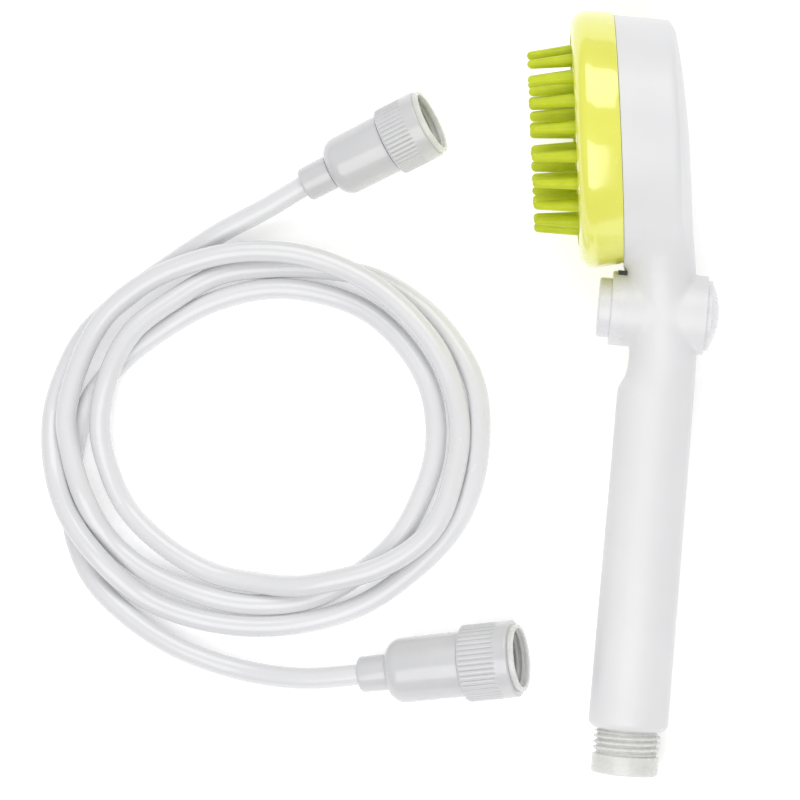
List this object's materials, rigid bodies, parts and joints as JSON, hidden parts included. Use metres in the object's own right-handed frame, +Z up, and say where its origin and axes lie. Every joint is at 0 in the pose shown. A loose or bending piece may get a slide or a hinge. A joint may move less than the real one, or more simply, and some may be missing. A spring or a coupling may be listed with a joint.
{
  "type": "handheld bath sprayer",
  "caption": "Handheld pet bath sprayer with a bristled brush head, a push-through water valve in the neck, a threaded inlet and a loosely coiled hose with knurled screw connectors.",
  "frame": {"origin": "middle of the footprint of the handset's bounding box, on the table it lies on", "axes": "+Y from the threaded inlet towards the head, +Z up from the table, -X the way the bristles face"},
  "size_m": [0.2206, 0.2358, 0.0796],
  "materials": {
    "white_shell": "smooth white moulded ABS, satin gloss",
    "white_button": "white moulded plastic, satin",
    "natural_plastic": "natural, slightly translucent white plastic",
    "moulded_fitting": "off-white acetal",
    "seal_rubber": "black seal rubber",
    "stainless_steel": "stainless steel",
    "lime_ring": "glossy yellow-lime ABS",
    "green_silicone": "satin lime-green silicone",
    "white_hose": "glossy white PVC hose",
    "white_connector": "glossy white moulded plastic"
  },
  "bodies": {
    "handset": {"housing_shell": "white_shell", "water_tube": "natural_plastic", "riser_tube": "natural_plastic", "inlet_adapter": "natural_plastic", "inlet_seal": "seal_rubber", "inlet_filter": "stainless_steel", "valve_sleeve": "moulded_fitting", "sleeve_seals": "seal_rubber", "front_collar": "white_button", "diffuser_plate": "moulded_fitting", "face_gasket": "seal_rubber"},
    "push_valve": {"front_button": "white_button", "valve_spool": "moulded_fitting", "spool_seals": "seal_rubber", "rear_button": "white_button", "rear_cap": "white_button", "button_screw": "stainless_steel"},
    "brush_head": {"hub_ring": "moulded_fitting", "spray_plate": "lime_ring", "plate_screws": "stainless_steel", "brush_pad": "green_silicone", "bristles": "green_silicone", "trim_ring": "lime_ring"},
    "hose": {"hose_tube": "white_hose", "tap_sleeve": "white_connector", "tap_tail": "white_connector", "tap_washer": "seal_rubber", "hand_sleeve": "white_connector", "hand_tail": "white_connector", "hand_washer": "seal_rubber"},
    "tap_end_nut": {"tap_nut": "white_connector"},
    "hand_end_nut": {"hand_nut": "white_connector"}
  },
  "joints": [
    {"name": "valve_push", "type": "slide", "parent": "handset", "child": "push_valve", "axis": [0.9818, 0.0237, -0.1885], "range_m": [0, 0.005]},
    {"name": "brush_head_twist", "type": "hinge", "parent": "handset", "child": "brush_head", "pos_m": [-0.00132, 0.07912, 0.03852], "axis": [-0.9743, -0.1462, 0.1716], "range_deg": [0, 30]},
    {"name": "hose_aside", "type": "slide", "parent": "handset", "child": "hose", "axis": [-1, 0, 0], "range_m": [0, 0.12]},
    {"name": "tap_nut_spin", "type": "hinge", "parent": "hose", "child": "tap_end_nut", "pos_m": [-0.07898, 0.07718, 0.01135], "axis": [0.8623, 0.4978, 0.0932], "continuous": true},
    {"name": "hand_nut_spin", "type": "hinge", "parent": "hose", "child": "hand_end_nut", "pos_m": [-0.0358, -0.08716, 0.01235], "axis": [0.9777, 0.19, 0.0896], "continuous": true}
  ]
}
